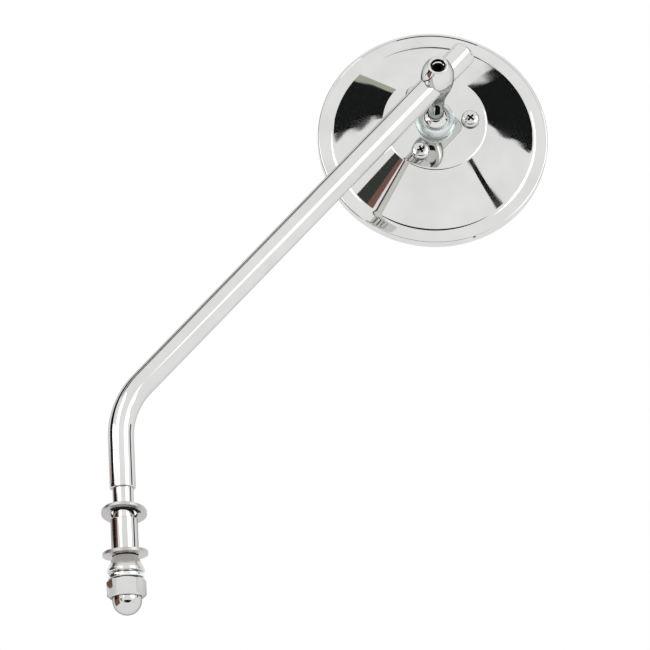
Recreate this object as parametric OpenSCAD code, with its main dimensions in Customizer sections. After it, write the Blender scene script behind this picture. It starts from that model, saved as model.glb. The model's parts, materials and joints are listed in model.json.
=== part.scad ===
// Round clamp-on mirror on a long bent rod, seen on the real thing as chromed steel.
// The frame: origin on the stud's axis at the rod's lower shoulder, +Z up the rod's straight
// foot, and the rod bends towards +X in the XZ plane. Millimetres.

/* [Rod] */
// Rod diameter
rod_d = 10.9; // [8:0.1:14]
// Straight foot above the shoulder, up to where the bend begins
foot_len = 21.5; // [10:0.5:60]
// Bend angle of the rod
bend_angle = 44.25; // [20:0.25:70]
// Radius of the bend, on the rod's centreline
bend_r = 34; // [20:1:60]
// Straight arm after the bend, up to the rod's free tip
arm_len = 212; // [120:1:300]
// Rounding of the free tip
tip_round = 1.9; // [0.5:0.1:3]
// Rounding of the shoulder where the stud begins
shoulder_round = 0.45; // [0.1:0.05:1]
// Smooth shank of the stud, the pitch diameter of its rolled thread
shank_d = 8.84; // [6:0.02:9.4]
// Major diameter of the stud's thread
thread_d = 9.4; // [9.3:0.02:10]
// Length of the stud below the shoulder
stud_len = 48.9; // [42:0.5:60]
// Threaded stretch at the end of the stud
thread_len = 11.7; // [8:0.5:20]

/* [Washers and spacer] */
// Outer diameter of both flat washers
washer_d = 19.05; // [16:0.05:24]
// Thickness of a flat washer
washer_t = 1.5; // [1:0.1:2.5]
// Hole of a flat washer
washer_hole = 10.8; // [10.3:0.1:12]
// Height of the loose upper washer's centre above the sleeve's top
upper_washer_rise = 2.92; // [2.25:0.05:5.25]
// Lean of the loose upper washer on the shank
upper_washer_lean = 12.8; // [0:0.1:15]
// Direction that the lean faces, as an angle about the stud
lean_azimuth = -111.3; // [-180:0.1:180]
// Outer diameter of the spacer sleeve
spacer_d = 11.3; // [10.6:0.1:14]
// Bore of the spacer sleeve
spacer_bore = 9.7; // [9.5:0.1:10]
// Length of the spacer sleeve
spacer_len = 13.9; // [10:0.1:14.4]
// Side lean of the lower washer in its slack
lower_washer_lean = 1.2; // [0:0.1:2]
// Neck diameter of the cone washer
cone_neck_d = 10.5; // [10.2:0.1:12]
// Rim diameter of the cone washer
cone_rim_d = 15.6; // [13:0.1:18]
// Height of the cone washer
cone_h = 7.05; // [5:0.05:9]
// Height of the cone washer's straight rim
cone_rim_h = 1.3; // [0.8:0.1:3]
// Bore of the cone washer
cone_bore = 9.5; // [9.4:0.05:9.9]
// Outer diameter of the split lock washer
lock_d = 15.4; // [13:0.1:17]
// Bore of the split lock washer
lock_bore = 9.8; // [9.6:0.1:10.5]
// Thickness of the lock washer's wire
lock_t = 1.6; // [1:0.1:2.2]
// Free rise of the lock washer from one end to the other
lock_rise = 1; // [0.3:0.1:1.2]
// Slack between neighbours of the stack on the stud
stack_slack = 0.3; // [0.05:0.05:0.4]

/* [Acorn nut] */
// Bare thread between the smooth shank and the nut
bare_thread = 1.8; // [0.5:0.1:4]
// Width across the nut's flats
nut_af = 14.29; // [12:0.01:17]
// Height of the hexagon
nut_hex_h = 7.6; // [5:0.1:10]
// Diameter of the dome
nut_dome_d = 12.3; // [11:0.1:14]
// Height of the nut's cylinder between the hexagon and the dome
nut_neck_h = 1.2; // [0.2:0.1:2]
// Turn of the nut's hexagon about the stud
nut_turn = 49.5; // [0:0.1:60]
// Clearance on radius between the stud's thread and the nut
thread_gap = 0.03; // [0.01:0.01:0.1]

/* [Swivel post] */
// Distance from the arm's free tip back to the post, along the arm
post_at = 19.4; // [12:0.1:152]
// Turn of the post about the arm, from straight up in the rod's plane
post_turn = 75.7; // [0:0.1:180]
// Height of the post's top above the rod's axis
post_top = 13.3; // [12.5:0.1:18]
// Drop of the ball's centre below the rod's axis
ball_drop = 35.3; // [28:0.1:40]
// Widest diameter of the post's body
post_d = 14.4; // [13.5:0.1:18]
// Diameter of the flat ring at the post's top
post_top_d = 8.9; // [8.4:0.1:12]
// Diameter of the neck above the ball
neck_d = 7.2; // [5:0.1:8]
// Diameter of the ball
ball_d = 14; // [13:0.1:14.5]
// Running clearance on radius between the rod and its bore in the post
rod_gap = 0.05; // [0.01:0.01:0.1]
// Diameter of the set screw
set_screw_d = 6.35; // [5:0.05:7]
// Length of the set screw
set_screw_len = 4.8; // [4:0.1:6]
// Width across the flats of the set screw's socket
set_screw_key = 3.2; // [2:0.1:4]
// Depth of the set screw's socket
set_screw_key_depth = 2.4; // [1.5:0.1:3]
// Clearance on radius between the set screw and its hole
set_screw_gap = 0.03; // [0.01:0.01:0.1]

/* [Head] */
// Tilt of the head from the post's axis at rest
head_tilt = 4.8; // [0:0.1:20]
// Direction of the tilt axis, about the post's axis
tilt_azimuth = -26.9; // [-180:0.1:180]
// Overall diameter of the head
head_d = 101.6; // [90:0.1:120]
// Depth of the plateau's face below the ball's centre
plateau_drop = 1.65; // [0.8:0.1:2.4]
// Margin of the plateau round the socket plate, up to the corner of its edge
plateau_margin = 3; // [2:0.25:10]
// Depth of the shell from the plateau to its flange
shell_depth = 16.3; // [12:0.1:24]
// Sheet thickness of the shell
shell_t = 0.9; // [0.6:0.05:1.1]
// Diameter at the foot of the flank, where the flat flange begins
flank_foot_d = 89.8; // [84:0.2:91]
// Outer rounding of the plateau's edge
plateau_round = 2; // [1.2:0.1:4]
// Inner rounding at the foot of the flank
flank_round = 4; // [1:0.1:5]
// Thickness of the rim bezel's sheet
bezel_t = 0.5; // [0.3:0.05:0.6]
// Height of the bezel's wall
bezel_h = 5.2; // [4.8:0.05:7]
// Rounding of the bezel's two outer edges
bezel_round = 0.8; // [0.7:0.05:1]
// Width of the bezel's lip on the shell's flange
bezel_back_lip = 1.2; // [1.1:0.1:3]
// Width of the bezel's lip over the glass
bezel_front_lip = 3; // [2:0.1:5]
// Thickness of the mirror glass
glass_t = 2.5; // [2:0.1:2.9]
// Width of the rubber seal between flange and glass
seal_w = 3.2; // [2:0.1:4]
// Thickness of the pad behind the glass
pad_t = 1.2; // [0.5:0.1:2]
// Gap at the edge of the glass, all round
glass_gap = 0.3; // [0.1:0.05:0.6]
// Diameter of the drain hole in the rim
drain_d = 1.2; // [0.8:0.1:2]
// Direction of the drain hole, about the head's axis
drain_angle = -92; // [-180:1:180]

/* [Ball clamp] */
// Half angle of the socket's mouth, from the head's axis
mouth_angle = 58.3; // [56:0.1:64]
// Running clearance on radius round the ball
ball_gap = 0.05; // [0.01:0.01:0.1]
// Wall of the socket's dome
socket_wall = 1.55; // [1.2:0.05:2.4]
// Diameter of the socket plate
socket_plate_d = 39; // [36:0.5:42]
// Thickness of the socket plate
socket_plate_t = 1.2; // [0.8:0.1:2]
// Gap between the socket's dome and the shell's hole
shell_hole_gap = 0.2; // [0.1:0.05:0.5]
// Thickness of the nylon liner under the ball
liner_t = 0.95; // [0.6:0.05:1.4]
// Half angle of the liner
liner_angle = 28; // [15:1:30]
// Height of the clamp plate's face below the ball's centre
clamp_drop = 5.4; // [5.2:0.1:6]
// Thickness of the clamp plate
clamp_t = 1.6; // [1:0.1:2.5]
// Diameter of the clamp plate
clamp_d = 39; // [36:0.5:42]

/* [Plate screws] */
// Number of plate screws
screw_count = 3; // [3]
// Distance of the screws' axes from the rim of the smaller plate
screw_edge = 4; // [3.5:0.1:5]
// Least gap between the screws' heads and the socket's dome
screw_dome_gap = 0.3; // [0.1:0.1:1]
// Direction of the first screw about the head's axis
screw_angle = -17.2; // [-180:0.1:180]
// Shank diameter of a plate screw
screw_d = 4; // [3:0.1:4.5]
// Head diameter of a plate screw
screw_head_d = 8; // [6:0.1:9]
// Head height of a plate screw
screw_head_h = 2.5; // [1.5:0.1:3]
// Length of a plate screw under its head
screw_len = 9.5; // [7:0.1:12]
// Clearance on radius of the screws' holes in the shell and the socket plate
screw_gap = 0.2; // [0.1:0.05:0.4]
// Length of one arm pair of the cross recess
cross_len = 4.3; // [3:0.1:5]
// Width of an arm of the cross recess
cross_w = 1.0; // [0.6:0.1:1.4]
// Depth of the cross recess
cross_depth = 1.6; // [1:0.1:2]

/* [Hidden] */
$fn = 96;
eps = 0.01;
screw_names = [for (i = [1:screw_count]) str("plate_screw_", i)];

// Rod; the bend reaches a little way into the straight parts
rod_r = rod_d / 2;
bend_overlap = 0.5;
bend_reach = bend_r * tan(bend_angle / 2);
corner_z = foot_len + bend_reach;

// Stack on the stud, from the nut upwards
thread_top = -(stud_len - thread_len);
nut_top = thread_top - bare_thread;
lock_bottom = nut_top + eps;
cone_bottom = lock_bottom + lock_t + lock_rise + stack_slack;
lower_washer_z = cone_bottom + cone_h + stack_slack + washer_t / 2;
spacer_bottom = lower_washer_z + washer_t / 2 + tan(lower_washer_lean) * spacer_d / 2;
spacer_top = spacer_bottom + spacer_len;

// Ball joint and head, as heights in the head's own frame, whose origin is the ball's centre
ball_r = ball_d / 2;
seat_r = ball_r + ball_gap;
liner_r = seat_r + liner_t;
dish_r = liner_r + 2 * ball_gap;
dome_r = seat_r + socket_wall;
head_r = head_d / 2;
plateau_z = -plateau_drop;
plateau_d = socket_plate_d + 2 * plateau_margin;
socket_plate_z = plateau_z - shell_t;
screw_circle_r = max(min(socket_plate_d, clamp_d) / 2 - screw_edge,
    dome_r + screw_dome_gap + screw_head_d / 2);
flange_z = plateau_z - shell_depth;
flange_r = head_r - bezel_round;
flank_foot_r = flank_foot_d / 2;
seal_top = flange_z - shell_t;
glass_back = flange_z + bezel_t - bezel_h + bezel_t + glass_t;
seal_t = seal_top - glass_back;
glass_r = head_r - bezel_t - glass_gap;
flank_angle = atan2(shell_depth, flank_foot_r - plateau_d / 2);

function arc(cx, cy, r, a0, a1, n) =
    [for (i = [0:n]) [cx + r * cos(a0 + (a1 - a0) * i / n), cy + r * sin(a0 + (a1 - a0) * i / n)]];
function bezier(p0, p1, p2, p3, n) =
    [for (i = [1:n]) let (t = i / n, s = 1 - t)
        s * s * s * p0 + 3 * s * s * t * p1 + 3 * s * t * t * p2 + t * t * t * p3];
function reversed(list) = [for (i = [len(list) - 1:-1:0]) list[i]];

// Places its children in the arm's frame: origin at the bend's corner, +Z along the arm
module at_arm() {
    translate([0, 0, corner_z]) rotate([0, bend_angle, 0]) children();
}

// Places its children in the post's frame: origin on the rod's axis, +Z up the post
module at_post() {
    at_arm() translate([0, 0, bend_reach + arm_len - post_at]) rotate([0, 0, post_turn])
        rotate([0, -90, 0]) children();
}

module at_ball() {
    at_post() translate([0, 0, -ball_drop]) children();
}

// Places its children in the head's frame: origin at the ball's centre, +Z out of the back
module at_head() {
    at_ball() rotate([0, 0, tilt_azimuth]) rotate([head_tilt, 0, 0]) children();
}

module ring(outer_d, inner_d, height) {
    difference() {
        cylinder(d = outer_d, h = height);
        translate([0, 0, -eps]) cylinder(d = inner_d, h = height + 2 * eps);
    }
}

module stem_rod() color("gainsboro") {
    foot = concat(
        [[0, 0], [rod_r - shoulder_round, 0]],
        arc(rod_r - shoulder_round, shoulder_round, shoulder_round, -90, 0, 6),
        [[rod_r, foot_len], [0, foot_len]]);
    stud = [
        [0, eps], [shank_d / 2, eps], [shank_d / 2, thread_top],
        [thread_d / 2, thread_top - (thread_d - shank_d) / 2], [thread_d / 2, 1 - stud_len],
        [thread_d / 2 - 1, -stud_len], [0, -stud_len]];
    tip = concat(
        [[0, arm_len], [0, 0], [rod_r, 0]],
        arc(rod_r - tip_round, arm_len - tip_round, tip_round, 0, 90, 12));
    union() {
        rotate_extrude() polygon(foot);
        rotate_extrude() polygon(stud);
        translate([bend_r, 0, foot_len]) rotate([90, 0, 0])
            rotate([0, 0, 180 - bend_angle - bend_overlap])
                rotate_extrude(angle = bend_angle + 2 * bend_overlap) translate([bend_r, 0])
                    circle(r = rod_r - 0.02);
        at_arm() translate([0, 0, bend_reach]) rotate_extrude() polygon(tip);
    }
}

module upper_washer() color("silver") {
    lean_shift = (washer_hole * cos(upper_washer_lean) - washer_t * sin(upper_washer_lean)
        - shank_d) / 2 - 2 * rod_gap;
    rotate([0, 0, lean_azimuth]) translate([-lean_shift, 0, spacer_top + upper_washer_rise])
        rotate([0, -upper_washer_lean, 0]) translate([0, 0, -washer_t / 2])
            ring(washer_d, washer_hole, washer_t);
}

module spacer_sleeve() color("gainsboro") {
    translate([0, 0, spacer_bottom]) ring(spacer_d, spacer_bore, spacer_len);
}

module lower_washer() color("silver") {
    translate([0, 0, lower_washer_z]) rotate([0, -lower_washer_lean, 0])
        translate([0, 0, -washer_t / 2]) ring(washer_d, washer_hole, washer_t);
}

module cone_washer() color("darkgray") {
    profile = [
        [cone_bore / 2, 0], [cone_rim_d / 2 - 0.3, 0], [cone_rim_d / 2, 0.3],
        [cone_rim_d / 2, cone_rim_h], [cone_neck_d / 2, cone_h], [cone_bore / 2, cone_h]];
    translate([0, 0, cone_bottom]) rotate_extrude() polygon(profile);
}

module lock_washer() color("lightsteelblue") {
    steps = 40;
    gap_angle = 9;
    split_at = 165;
    section = [
        [lock_bore / 2, 0], [lock_d / 2, 0], [lock_d / 2, lock_t], [lock_bore / 2, lock_t]];
    points = [for (i = [0:steps], p = section)
        let (a = split_at + gap_angle / 2 + (360 - gap_angle) * i / steps)
            [p[0] * cos(a), p[0] * sin(a), p[1] + lock_rise * i / steps]];
    sides = [for (i = [0:steps - 1], k = [0:3])
        let (b = 4 * i, m = (k + 1) % 4) [b + k, b + k + 4, b + m + 4, b + m]];
    ends = [[0, 1, 2, 3], [4 * steps + 3, 4 * steps + 2, 4 * steps + 1, 4 * steps]];
    translate([0, 0, lock_bottom]) polyhedron(points, concat(sides, ends), convexity = 4);
}

module acorn_nut() color("gainsboro") {
    corner_r = nut_af / sqrt(3);
    chamfer = corner_r - nut_af / 2 + 0.15;
    dome_z = nut_top - nut_hex_h - nut_neck_h;
    blank = [
        [0, nut_top], [corner_r - chamfer, nut_top], [corner_r, nut_top - chamfer * tan(30)],
        [corner_r, nut_top - nut_hex_h + chamfer * tan(40)],
        [corner_r - chamfer, nut_top - nut_hex_h], [0, nut_top - nut_hex_h]];
    difference() {
        union() {
            intersection() {
                translate([0, 0, nut_top - nut_hex_h]) rotate([0, 0, nut_turn])
                    cylinder(r = corner_r, h = nut_hex_h, $fn = 6);
                rotate_extrude() polygon(blank);
            }
            translate([0, 0, dome_z]) cylinder(d = nut_dome_d, h = nut_neck_h + 1);
            translate([0, 0, dome_z]) sphere(d = nut_dome_d);
        }
        translate([0, 0, -stud_len - 1.2])
            cylinder(r = thread_d / 2 + thread_gap, h = stud_len + 1.2 + nut_top + 1);
    }
}

module swivel_post() color("gainsboro") {
    top_r = post_top_d / 2;
    wide_r = post_d / 2;
    neck_r = neck_d / 2;
    neck_top = -0.52 * ball_drop;
    hole_r = set_screw_d / 2 + set_screw_gap;
    side = concat(
        [[0, post_top], [top_r - 0.3, post_top], [top_r, post_top - 0.3]],
        bezier([top_r, post_top - 0.3], [top_r + 1.6, post_top - 3.2], [wide_r, 8],
            [wide_r, 2.5], 14),
        bezier([wide_r, 2.5], [wide_r, -4.5], [neck_r, neck_top + 7], [neck_r, neck_top], 20),
        [[neck_r, -ball_drop], [0, -ball_drop]]);
    at_post() difference() {
        union() {
            rotate_extrude() polygon(side);
            translate([0, 0, -ball_drop]) sphere(d = ball_d);
        }
        translate([-2 * post_d, 0, 0]) rotate([0, 90, 0])
            cylinder(r = rod_r + rod_gap, h = 4 * post_d);
        cylinder(r = hole_r, h = post_top + 1);
    }
}

module set_screw() color("dimgray") {
    foot = rod_r + 2 * rod_gap;
    profile = [
        [0, foot], [set_screw_d / 2 - 0.8, foot], [set_screw_d / 2, foot + 0.8],
        [set_screw_d / 2, foot + set_screw_len - 0.5],
        [set_screw_d / 2 - 0.5, foot + set_screw_len], [0, foot + set_screw_len]];
    at_post() difference() {
        rotate_extrude() polygon(profile);
        translate([0, 0, foot + set_screw_len - set_screw_key_depth])
            cylinder(d = set_screw_key / cos(30), h = set_screw_key_depth + 1, $fn = 6);
    }
}

module ball_liner() color("ivory") {
    cut_h = 2 * liner_r;
    at_ball() difference() {
        intersection() {
            sphere(r = liner_r);
            translate([0, 0, -cut_h]) cylinder(r1 = cut_h * tan(liner_angle), r2 = 0, h = cut_h);
        }
        sphere(r = seat_r);
    }
}

// The shell's section at depth o under its outer face, from the hole to the flange
function shell_path(o, hole_r) = let (half = tan(flank_angle / 2))
    concat(
        [[hole_r, plateau_z - o]],
        arc(plateau_d / 2 - plateau_round * half, plateau_z - plateau_round, plateau_round - o,
            90, 90 - flank_angle, 8),
        arc(flank_foot_r + flank_round * half, flange_z + flank_round, flank_round + o,
            270 - flank_angle, 270, 8),
        [[flange_r, flange_z - o]]);

module screw_holes(radius) {
    for (i = [0:screw_count - 1])
        rotate([0, 0, screw_angle + 360 * i / screw_count]) translate([screw_circle_r, 0, -3 * screw_len])
            cylinder(r = radius, h = 4 * screw_len);
}

module back_shell() color("gainsboro") {
    hole_r = dome_r + shell_hole_gap;
    at_head() difference() {
        rotate_extrude() polygon(concat(shell_path(0, hole_r), reversed(shell_path(shell_t, hole_r))));
        screw_holes(screw_d / 2 + screw_gap);
    }
}

module socket_plate() color("lightsteelblue") {
    mouth_h = 2 * dome_r;
    at_head() difference() {
        union() {
            intersection() {
                sphere(r = dome_r);
                translate([0, 0, socket_plate_z - socket_plate_t]) cylinder(r = 2 * dome_r, h = mouth_h);
            }
            translate([0, 0, socket_plate_z - socket_plate_t])
                cylinder(d = socket_plate_d, h = socket_plate_t);
        }
        sphere(r = seat_r);
        translate([0, 0, -seat_r]) cylinder(r = seat_r, h = seat_r);
        cylinder(r1 = 0, r2 = mouth_h * tan(mouth_angle), h = mouth_h);
        screw_holes(screw_d / 2 + screw_gap);
    }
}

module clamp_plate() color("lightsteelblue") {
    at_head() difference() {
        union() {
            translate([0, 0, -clamp_drop - clamp_t]) cylinder(d = clamp_d, h = clamp_t);
            intersection() {
                sphere(r = dish_r + clamp_t);
                translate([0, 0, -clamp_drop - 2 * dish_r]) cylinder(r = 2 * dish_r, h = 2 * dish_r);
            }
        }
        sphere(r = dish_r);
        screw_holes(screw_d / 2 + thread_gap);
    }
}

module plate_screw(index) color("gainsboro") {
    crown_r = (screw_head_d * screw_head_d / 4 + screw_head_h * screw_head_h) / (2 * screw_head_h)
        + 0.6;
    crown_z = screw_head_h - crown_r;
    at_head() rotate([0, 0, screw_angle + 360 * (index - 1) / screw_count])
        translate([screw_circle_r, 0, plateau_z]) rotate([0, 0, 45 * index]) difference() {
            union() {
                intersection() {
                    cylinder(d = screw_head_d, h = screw_head_h);
                    translate([0, 0, crown_z]) sphere(r = crown_r);
                }
                translate([0, 0, -screw_len]) cylinder(d = screw_d, h = screw_len + eps);
            }
            for (turn = [0, 90]) rotate([0, 0, turn])
                translate([-cross_len / 2, -cross_w / 2, screw_head_h - cross_depth])
                    cube([cross_len, cross_w, cross_depth + 1]);
            translate([0, 0, screw_head_h - cross_depth - 0.6])
                cylinder(d1 = 0.6, d2 = 2.2, h = cross_depth + 0.6);
        }
}

// The bezel's section: a channel that grips the flange and the glass, with rounded outer edges
module rim_bezel() color("gainsboro") {
    top = flange_z + bezel_t;
    bottom = top - bezel_h;
    back_r = head_r - bezel_back_lip;
    front_r = head_r - bezel_front_lip;
    outer = concat(
        [[back_r, top]],
        arc(head_r - bezel_round, top - bezel_round, bezel_round, 90, 0, 8),
        arc(head_r - bezel_round, bottom + bezel_round, bezel_round, 0, -90, 8),
        [[front_r, bottom]]);
    inner_round = bezel_round - bezel_t;
    inner = concat(
        [[front_r, bottom + bezel_t]],
        arc(head_r - bezel_round, bottom + bezel_round, inner_round, -90, 0, 6),
        arc(head_r - bezel_round, top - bezel_round, inner_round, 0, 90, 6),
        [[back_r, top - bezel_t]]);
    at_head() difference() {
        rotate_extrude() polygon(concat(outer, inner));
        rotate([0, 0, drain_angle]) translate([head_r - bezel_t - 1, 0, top - bezel_round - 0.6])
            rotate([0, 60, 0]) cylinder(d = drain_d, h = 4, center = true);
    }
}

module seal_ring() color("black") {
    at_head() translate([0, 0, glass_back]) ring(2 * glass_r, 2 * (glass_r - seal_w), seal_t);
}

module backing_pad() color("dimgray") {
    at_head() translate([0, 0, glass_back])
        cylinder(r = flank_foot_r - 3, h = pad_t);
}

module mirror_glass() color("powderblue") {
    at_head() translate([0, 0, glass_back - glass_t]) cylinder(r = glass_r, h = glass_t);
}

stem_rod();
upper_washer();
spacer_sleeve();
lower_washer();
cone_washer();
lock_washer();
acorn_nut();
swivel_post();
set_screw();
ball_liner();
back_shell();
socket_plate();
clamp_plate();
rim_bezel();
seal_ring();
backing_pad();
mirror_glass();
for (i = [1:screw_count])
    plate_screw(i);
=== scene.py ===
"""Builds the finished surfaces of a round chromed mirror on a bent rod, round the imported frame."""

import json
import math

import bpy
from mathutils import Matrix, Vector


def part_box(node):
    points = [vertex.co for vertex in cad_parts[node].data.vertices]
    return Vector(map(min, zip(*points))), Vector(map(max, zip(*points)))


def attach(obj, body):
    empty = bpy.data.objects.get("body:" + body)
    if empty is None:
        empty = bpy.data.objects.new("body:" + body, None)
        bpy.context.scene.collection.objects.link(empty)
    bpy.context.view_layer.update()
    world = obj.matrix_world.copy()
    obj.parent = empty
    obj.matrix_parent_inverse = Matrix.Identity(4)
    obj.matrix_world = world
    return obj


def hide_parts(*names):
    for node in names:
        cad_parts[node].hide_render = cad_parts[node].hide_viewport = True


bl_info = {
    "name": "Round mirror on a bent rod",
    "version": (1, 0, 0),
    "blender": (4, 5, 0),
    "location": "3D View > Sidebar > Mirror",
    "description": "Builds the chromed surfaces of a round clamp-on mirror and its studio",
    "category": "Object",
}

# The frame comes first, so that the pieces take their places from it
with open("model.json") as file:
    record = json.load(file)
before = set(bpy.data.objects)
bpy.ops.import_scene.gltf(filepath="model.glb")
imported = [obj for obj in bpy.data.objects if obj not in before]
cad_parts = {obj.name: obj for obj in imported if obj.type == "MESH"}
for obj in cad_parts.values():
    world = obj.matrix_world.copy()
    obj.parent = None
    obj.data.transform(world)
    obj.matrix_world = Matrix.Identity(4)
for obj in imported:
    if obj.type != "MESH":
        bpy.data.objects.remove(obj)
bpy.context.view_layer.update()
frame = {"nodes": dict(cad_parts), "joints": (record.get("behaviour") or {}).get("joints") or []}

MM = 0.001
JOINTS = {joint["name"]: joint for joint in frame["joints"]}
BALL_CENTRE = Vector(JOINTS["head_turn"]["pos_m"])
ARM_AXIS = Vector(JOINTS["post_slide"]["axis"]).normalized()
POST_AXIS = Vector(JOINTS["head_turn"]["axis"]).normalized()
TILT_AXIS = Vector(JOINTS["head_tilt"]["axis"]).normalized()
BEND_ANGLE = math.atan2(ARM_AXIS.x, ARM_AXIS.z)


def linear(code):
    """The linear red, green and blue of an sRGB hex value."""
    parts = [int(code[i : i + 2], 16) / 255 for i in (1, 3, 5)]
    return [p / 12.92 if p <= 0.04045 else ((p + 0.055) / 1.055) ** 2.4 for p in parts]


def mm(name, value, words, low=0.0):
    """A length, held as a plain number of millimetres, as the outlines use it."""
    words += ", in millimetres"
    return bpy.props.FloatProperty(name=name, description=words, default=value, min=low, max=1000)


def degrees(name, value, words):
    """An angle, given here in degrees and held in radians."""
    return bpy.props.FloatProperty(
        name=name, description=words, default=math.radians(value), min=-math.pi, max=math.pi,
        subtype="ANGLE", unit="ROTATION",
    )


def colour(name, code, words):
    """A colour, given here as an sRGB hex value and held as linear values."""
    return bpy.props.FloatVectorProperty(
        name=name, description=words, default=linear(code), min=0.0, max=1.0, subtype="COLOR"
    )


class RodSizes(bpy.types.PropertyGroup):
    """Sizes of the rod and its stud."""

    rod_d: mm("Rod", 10.9, "Diameter of the rod")
    foot_len: mm("Foot", 21.5, "Straight foot above the shoulder")
    bend_r: mm("Bend", 34.0, "Radius of the bend on the centreline")
    arm_len: mm("Arm", 212.0, "Straight arm after the bend")
    tip_round: mm("Tip rounding", 1.9, "Rounding of the free tip")
    shoulder_round: mm("Shoulder rounding", 0.45, "Rounding of the lower shoulder")
    shank_d: mm("Shank", 8.84, "Smooth shank of the stud")
    thread_d: mm("Thread", 9.4, "Major diameter of the stud's thread")
    thread_top: mm("Thread top", -37.2, "Height where the thread starts", low=-100.0)
    stud_end: mm("Stud end", -48.9, "Height of the stud's end", low=-100.0)


class StackSizes(bpy.types.PropertyGroup):
    """Sizes of the washers, the sleeve and the nut on the stud."""

    washer_d: mm("Washer", 19.05, "Outer diameter of a flat washer")
    washer_hole: mm("Washer hole", 10.8, "Hole of a flat washer")
    washer_t: mm("Washer thickness", 1.5, "Thickness of a flat washer")
    upper_drop: mm("Upper washer", 10.30, "Drop of the loose upper washer below the shoulder")
    upper_lean: degrees("Upper washer's lean", 12.8, "Lean of the loose upper washer")
    lean_azimuth: degrees("Lean direction", -111.3, "Direction of that lean")
    upper_shift: mm("Upper washer's shift", 0.58, "Sideways shift of the loose upper washer")
    lower_z: mm("Lower washer", -27.99, "Height of the lower washer", low=-100.0)
    lower_lean: degrees("Lower washer's lean", 1.2, "Lean of the lower washer")
    sleeve_d: mm("Sleeve", 11.3, "Outer diameter of the spacer sleeve")
    sleeve_bore: mm("Sleeve bore", 9.7, "Bore of the spacer sleeve")
    cone_neck_d: mm("Cone neck", 10.5, "Neck diameter of the cone washer")
    cone_rim_d: mm("Cone rim", 15.6, "Rim diameter of the cone washer")
    cone_rim_h: mm("Cone rim height", 1.3, "Height of the cone washer's straight rim")
    cone_bore: mm("Cone bore", 9.5, "Bore of the cone washer")
    nut_af: mm("Nut", 14.29, "Width across the nut's flats")
    nut_hex_h: mm("Hexagon", 7.6, "Height of the nut's hexagon")
    nut_turn: degrees("Nut's turn", 49.5, "Turn of the hexagon about the stud")
    dome_d: mm("Dome", 12.3, "Diameter of the nut's dome")
    dome_neck: mm("Dome neck", 1.2, "Straight height between hexagon and dome")


class HeadSizes(bpy.types.PropertyGroup):
    """Sizes of the post, the ball clamp and the round head."""

    post_top: mm("Post top", 13.3, "Height of the post's top above the rod's axis")
    ball_drop: mm("Ball drop", 35.3, "Drop of the ball's centre below the rod's axis")
    post_d: mm("Post", 14.4, "Widest diameter of the post")
    post_top_d: mm("Post ring", 8.9, "Diameter of the flat ring at the post's top")
    neck_d: mm("Neck", 7.2, "Diameter of the neck above the ball")
    ball_d: mm("Ball", 14.0, "Diameter of the ball")
    screw_hole_d: mm("Set screw hole", 6.41, "Diameter of the threaded hole in the post")
    head_tilt: degrees("Head tilt", 4.8, "Tilt of the head from the post's axis")
    head_d: mm("Head", 101.6, "Overall diameter of the head")
    plateau_drop: mm("Plateau drop", 1.65, "Depth of the plateau below the ball's centre")
    plateau_d: mm("Plateau", 45.0, "Diameter of the plateau")
    plateau_round: mm("Plateau rounding", 2.0, "Outer rounding of the plateau's edge")
    shell_depth: mm("Shell depth", 16.3, "Depth of the shell from plateau to flange")
    shell_t: mm("Sheet", 0.9, "Sheet thickness of the shell")
    flank_foot_d: mm("Flank foot", 89.8, "Diameter at the foot of the flank")
    flank_round: mm("Flank rounding", 4.0, "Inner rounding at the foot of the flank")
    dome_d: mm("Collar", 17.2, "Outer diameter of the ball socket's dome")
    seat_d: mm("Seat", 14.1, "Diameter of the seat round the ball")
    mouth_angle: degrees("Mouth", 58.3, "Half angle of the socket's mouth")
    hole_gap: mm("Shell hole gap", 0.2, "Gap between dome and shell")
    bezel_t: mm("Bezel sheet", 0.5, "Sheet thickness of the rim bezel")
    bezel_h: mm("Bezel height", 5.2, "Height of the bezel's wall")
    bezel_round: mm("Bezel rounding", 0.8, "Rounding of the bezel's outer edges")
    back_lip: mm("Back lip", 1.2, "Width of the bezel's lip on the flange")
    front_lip: mm("Front lip", 3.0, "Width of the bezel's lip over the glass")
    drain_d: mm("Drain hole", 1.2, "Diameter of the drain hole")
    drain_angle: degrees("Drain direction", -92.0, "Direction of the drain hole")
    glass_t: mm("Glass", 2.5, "Thickness of the mirror glass")
    screw_circle_r: mm("Screw circle", 15.5, "Radius of the circle of plate screws")
    screw_angle: degrees("Screw direction", -17.2, "Direction of the first screw")
    screw_head_d: mm("Screw head", 8.0, "Diameter of a plate screw's head")
    screw_head_h: mm("Head height", 2.5, "Height of a plate screw's head")
    screw_d: mm("Screw shank", 4.0, "Shank diameter of a plate screw")
    screw_len: mm("Screw length", 9.5, "Length of a plate screw under its head")


class FinishColours(bpy.types.PropertyGroup):
    """Base colours of the finishes."""

    chrome: colour("Chrome", "#E0E0DE", "Bright chrome plate")
    zinc: colour("Zinc", "#E8F1F1", "Blue-white zinc plate")
    bright_zinc: colour("Bright zinc", "#F2F3F3", "Bright zinc plate")
    washer: colour("Washer steel", "#C9C8C5", "Satin tumbled steel")
    turned: colour("Turned steel", "#D8D6D3", "Fine turned steel")
    black_oxide: colour("Black oxide", "#1B1B1C", "Black oxide on steel")
    nylon: colour("Nylon", "#E4E1D6", "Natural nylon")
    rubber: colour("Rubber", "#1D1D1E", "Black rubber")
    foam: colour("Foam", "#3A3A3B", "Closed-cell foam")
    silver: colour("Silvering", "#EDF1F1", "Silvering seen through the glass")
    background: colour("Background", "#FFFFFF", "White paper background")


def rod_sizes():
    return bpy.context.scene.mirror_rod


def stack_sizes():
    return bpy.context.scene.mirror_stack


def head_sizes():
    return bpy.context.scene.mirror_head


def finishes():
    return bpy.context.scene.mirror_finishes


# Places


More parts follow.
